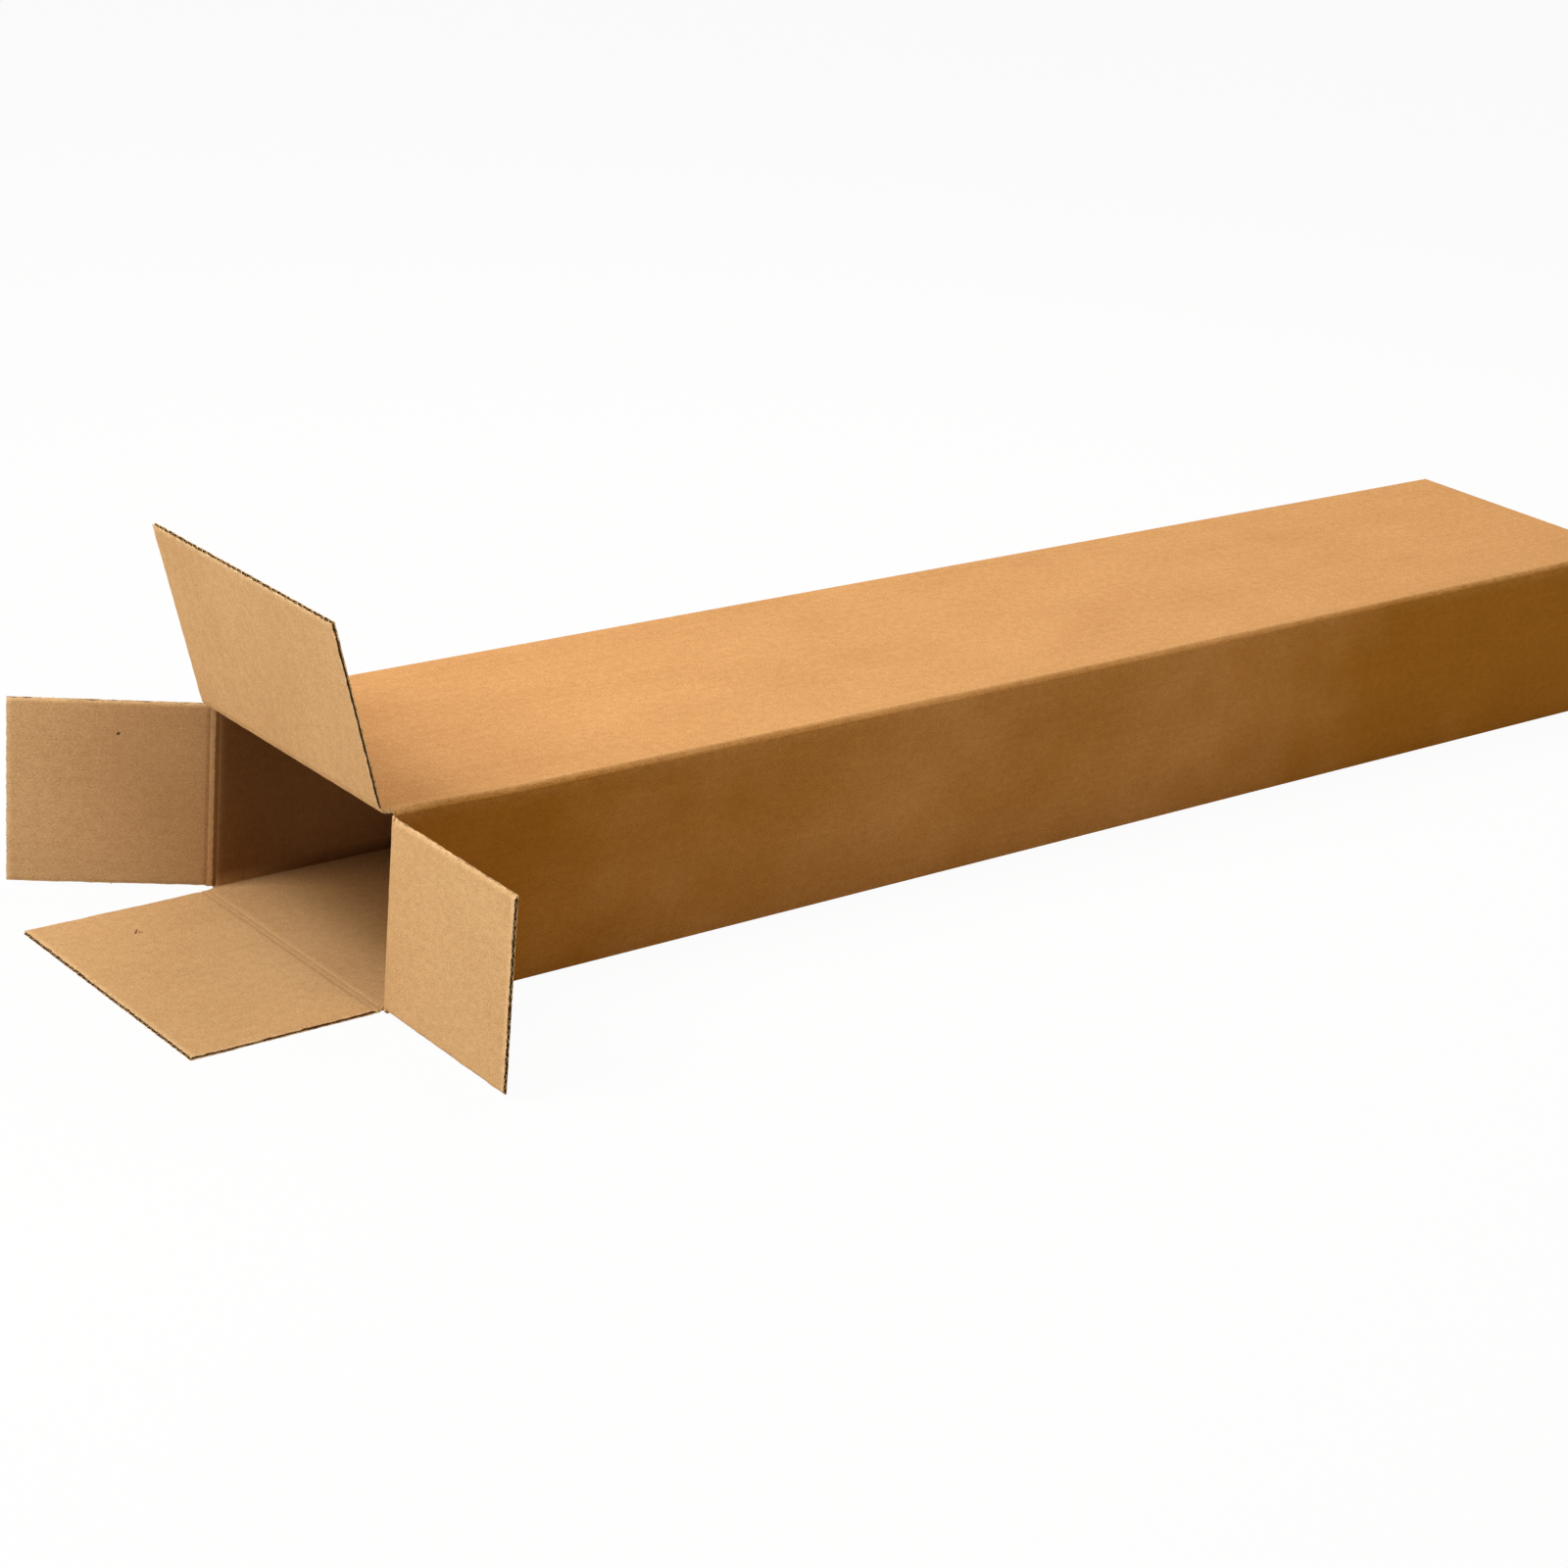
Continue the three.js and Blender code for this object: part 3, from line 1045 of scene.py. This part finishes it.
def make_crease_strip(name):
    crease = CREASES[name]
    columns = round(crease.width / STRIP_COLUMN)
    edge = Vector((-CREASE_GAP - MITRE, -MITRE))
    first = math.atan2(edge.y, edge.x)
    last = -math.pi - first + crease.opened

    def across(column):
        return crease.width * (column / columns - 0.5)

    def inner(column, row):
        place = across(column)
        if row == 0:
            return crease.wall_point(edge.x - STRIP_LAP, place, edge.y + STRIP_SINK)
        if row == STRIP_STEPS:
            return crease.flap_point(-edge.x + STRIP_LAP, place, edge.y + STRIP_SINK)
        share = (row - 1) / (STRIP_STEPS - 2)
        before = crease.wall_point(edge.x, place, edge.y)
        after = crease.flap_point(-edge.x, place, edge.y)
        fullness = RIDGE_FULLNESS + 0.10 * wander(0.012, place, 2.0) + 0.06 * wander(0.003, place, 6.0)
        ridge = -fullness * MITRE / math.cos(crease.opened / 2)
        corner = crease.turned(crease.wall_point(0, place, ridge), crease.opened / 2)
        return before * (1 - share) ** 2 + corner * (2 * share * (1 - share)) + after * share ** 2

    def outer(column, row):
        share = row / STRIP_STEPS
        stop = -math.pi - OUTER_START + crease.opened
        angle = OUTER_START + (stop - OUTER_START) * share
        radius = OUTER_GAP_RADIUS + STRIP_LAP * abs(2 * share - 1)
        return crease.wall_point(radius * math.cos(angle), across(column), radius * math.sin(angle))

    strip = board_sheet(
        name + "_crease_strip",
        columns,
        STRIP_STEPS,
        outer,
        inner,
        lambda column, row: (row * 0.0007, across(column)),
        [OUTSIDE, INSIDE, CUT_EDGE],
    )

    def way_round(point):
        place = point - crease.place
        angle = math.atan2(place.dot(crease.outward), place.dot(crease.away))
        return (angle - first) / (last - first)

    # Rubbed wear and a painted highlight along the ridge
    def wear_and_highlight(point, inner):
        ridge = max(1 - abs(way_round(point) - 0.5) / RIDGE_HALF, 0)
        speckle = 0.55 + 0.7 * wander(0.004, point.x, point.y, point.z)
        return RIDGE_WEAR_AND_HIGHLIGHT[name] * ridge * min(max(speckle, 0), 1)

    # Painted shade on the walls' side of the fold
    def painted_shade_level(point, inner):
        shaded_side = 1 - smooth((way_round(point) - 0.40) / 0.20)
        return shaded_side * STRIP_SHADE[name]

    paint(strip, "worn_and_highlight", wear_and_highlight)
    paint(strip, "painted_shade", painted_shade_level)
    finish_piece(strip, None, 60)
    middle = crease.turned(crease.wall_point(1, 0, 0), crease.opened / 2) - crease.place
    crease.place - middle * BLEND_REACH
    crease.place + middle * BLEND_REACH
    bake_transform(strip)
    return strip


make_walls()
for flap_name in LAYERS:
    make_flap(flap_name)
    make_crease_strip(flap_name)


# The floor, the light and the camera

FLOOR_SIZE = 14
FLOOR_DROP = 0.0003
FLOOR_COLOUR = (0.74, 0.73, 0.72, 1)
WHITE_SHARE = 0.95
ROOM_COLOUR = (1.0, 0.90, 0.74, 1)
ROOM_STRENGTH = 0.12


def shown_white(tree):
    """1 where the camera, a gloss or a glass looks, so that they see a white background, and 0 for light."""
    rays = tree.nodes.new("ShaderNodeLightPath")
    share = rays.outputs["Is Camera Ray"]
    for kind in ("Is Glossy Ray", "Is Transmission Ray"):
        either = tree.nodes.new("ShaderNodeMath")
        either.operation = "MAXIMUM"
        tree.links.new(share, either.inputs[0])
        tree.links.new(rays.outputs[kind], either.inputs[1])
        share = either.outputs[0]
    return share


def make_floor():
    deselect()
    bpy.ops.mesh.primitive_plane_add(size=FLOOR_SIZE, location=(0, 0, -FLOOR_DROP))
    floor = bpy.context.active_object
    floor.name = "floor"
    material = bpy.data.materials.new("pale_floor")
    material.use_nodes = True
    tree = material.node_tree
    matt = tree.nodes["Principled BSDF"]
    matt.inputs["Base Color"].default_value = FLOOR_COLOUR
    matt.inputs["Roughness"].default_value = 0.9
    white = tree.nodes.new("ShaderNodeEmission")
    share = tree.nodes.new("ShaderNodeMath")
    share.operation = "MULTIPLY"
    share.inputs[1].default_value = WHITE_SHARE
    mixed = tree.nodes.new("ShaderNodeMixShader")
    tree.links.new(shown_white(tree), share.inputs[0])
    tree.links.new(share.outputs[0], mixed.inputs[0])
    tree.links.new(matt.outputs[0], mixed.inputs[1])
    tree.links.new(white.outputs[0], mixed.inputs[2])
    tree.links.new(mixed.outputs[0], tree.nodes["Material Output"].inputs["Surface"])
    floor.data.materials.append(material)


def make_world():
    world = bpy.data.worlds.new("studio")
    world.use_nodes = True
    bpy.context.scene.world = world
    tree = world.node_tree
    soft = tree.nodes["Background"]
    soft.inputs["Color"].default_value = ROOM_COLOUR
    soft.inputs["Strength"].default_value = ROOM_STRENGTH
    white = tree.nodes.new("ShaderNodeBackground")
    mixed = tree.nodes.new("ShaderNodeMixShader")
    tree.links.new(shown_white(tree), mixed.inputs[0])
    tree.links.new(soft.outputs[0], mixed.inputs[1])
    tree.links.new(white.outputs[0], mixed.inputs[2])
    tree.links.new(mixed.outputs[0], tree.nodes["World Output"].inputs["Surface"])


def make_lamp(name, place, target, size, power, colour):
    way = Vector(target) - Vector(place)
    bpy.ops.object.light_add(type="AREA", location=place, rotation=way.to_track_quat("-Z", "Y").to_euler())
    lamp = bpy.context.active_object
    lamp.name = name
    lamp.data.shape = "RECTANGLE"
    lamp.data.size = size[0]
    lamp.data.size_y = size[1]
    lamp.data.energy = power
    lamp.data.color = colour


CAMERA_PLACE = (-2.34695, -2.36695, 1.29726)
CAMERA_TURN = (68.3931, -4.7548, -39.4144)
CAMERA_LENS = 78.687
SENSOR_WIDTH = 36


def make_camera():
    turn = [math.radians(angle) for angle in CAMERA_TURN]
    bpy.ops.object.camera_add(location=CAMERA_PLACE, rotation=turn)
    camera = bpy.context.active_object
    camera.data.sensor_fit = "HORIZONTAL"
    camera.data.sensor_width = SENSOR_WIDTH
    camera.data.lens = CAMERA_LENS
    bpy.context.scene.camera = camera


make_floor()
make_world()
make_lamp(
    "key",
    place=(-3.1, 0.4, 2.4),
    target=(-0.3, 0, 0.1),
    size=(1.8, 1.8),
    power=98,
    colour=(1.0, 0.985, 0.95),
)
make_lamp(
    "top_fill",
    place=(0.9, 0.8, 2.6),
    target=(0.2, 0, 0.1),
    size=(2.2, 2.2),
    power=53,
    colour=(1.0, 0.97, 0.93),
)
make_lamp(
    "mouth_fill",
    place=(-1.5, -0.1, 2.4),
    target=(-1.0, 0, 0),
    size=(1.0, 1.0),
    power=13,
    colour=(1.0, 0.985, 0.95),
)
make_lamp(
    "front_fill",
    place=(0.9, -3.2, 0.36),
    target=(0.1, 0, 0.1),
    size=(2.0, 0.7),
    power=32,
    colour=(1.0, 0.95, 0.88),
)
make_camera()
bpy.context.scene.view_settings.view_transform = "Standard"
